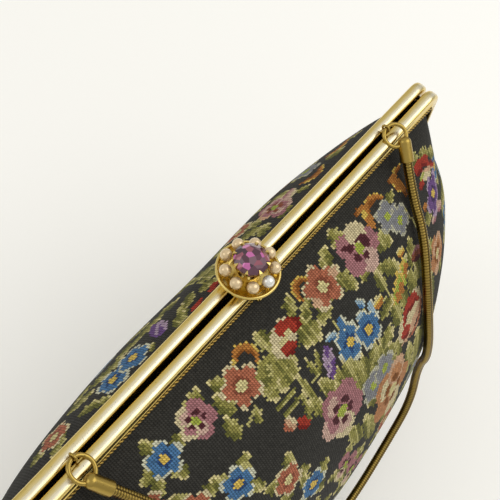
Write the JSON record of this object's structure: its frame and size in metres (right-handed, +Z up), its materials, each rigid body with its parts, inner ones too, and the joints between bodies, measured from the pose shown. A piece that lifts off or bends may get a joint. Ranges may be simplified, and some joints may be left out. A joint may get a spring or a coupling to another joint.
{
  "type": "petit point evening bag",
  "caption": "Small evening bag with a hinged two-half gilt frame, floral needlework pouch, jewelled flip clasp and a chain handle that swings on rings",
  "frame": {"origin": "On the surface that the bag stands on, below the middle of the frame where the two halves meet", "axes": "+Z up, +X along the frame, -Y to the front panel, where the chain handle hangs"},
  "size_m": [0.2196, 0.0928, 0.1616],
  "materials": {
    "gilt_metal": "polished, worn gilt",
    "chain_gilt": "antique gilt",
    "needlework": "petit point, black ground with flowers",
    "braid": "metallic gimp",
    "lining": "satin",
    "stone": "faceted, violet",
    "pearl": "pearl glaze"
  },
  "bodies": {
    "bag": {"front_frame": "gilt_metal", "front_braid": "braid", "front_panel": "needlework", "back_panel": "needlework", "lining": "lining", "hinge_rivet_left": "gilt_metal", "hinge_rivet_right": "gilt_metal", "clasp_bracket": "gilt_metal", "clasp_pin": "gilt_metal", "lug_left": "gilt_metal", "lug_right": "gilt_metal"},
    "back_half": {"back_frame": "gilt_metal", "back_braid": "braid", "back_panel_top": "needlework", "catch_stud": "gilt_metal"},
    "clasp": {"clasp_dish": "gilt_metal", "clasp_leaf": "gilt_metal", "stone_collet": "gilt_metal", "stone": "stone", "pearl_1": "pearl", "pearl_2": "pearl", "pearl_3": "pearl", "pearl_4": "pearl", "pearl_5": "pearl", "pearl_6": "pearl", "pearl_7": "pearl", "pearl_8": "pearl", "pearl_9": "pearl"},
    "handle": {"jump_ring_left": "chain_gilt", "jump_ring_right": "chain_gilt", "end_cap_left": "chain_gilt", "end_cap_right": "chain_gilt", "snake_chain": "chain_gilt"}
  },
  "joints": [
    {"name": "frame_hinge", "type": "hinge", "parent": "bag", "child": "back_half", "pos_m": [0, 0, 0.12], "axis": [-1, 0, 0], "range_deg": [0, 60]},
    {"name": "clasp_lift", "type": "hinge", "parent": "bag", "child": "clasp", "pos_m": [0, -0.0064, 0.1485], "axis": [1, 0, 0], "range_deg": [0, 65]},
    {"name": "handle_swing", "type": "hinge", "parent": "bag", "child": "handle", "pos_m": [0, 0, 0.1519], "axis": [-1, 0, 0], "range_deg": [0, 150]}
  ]
}
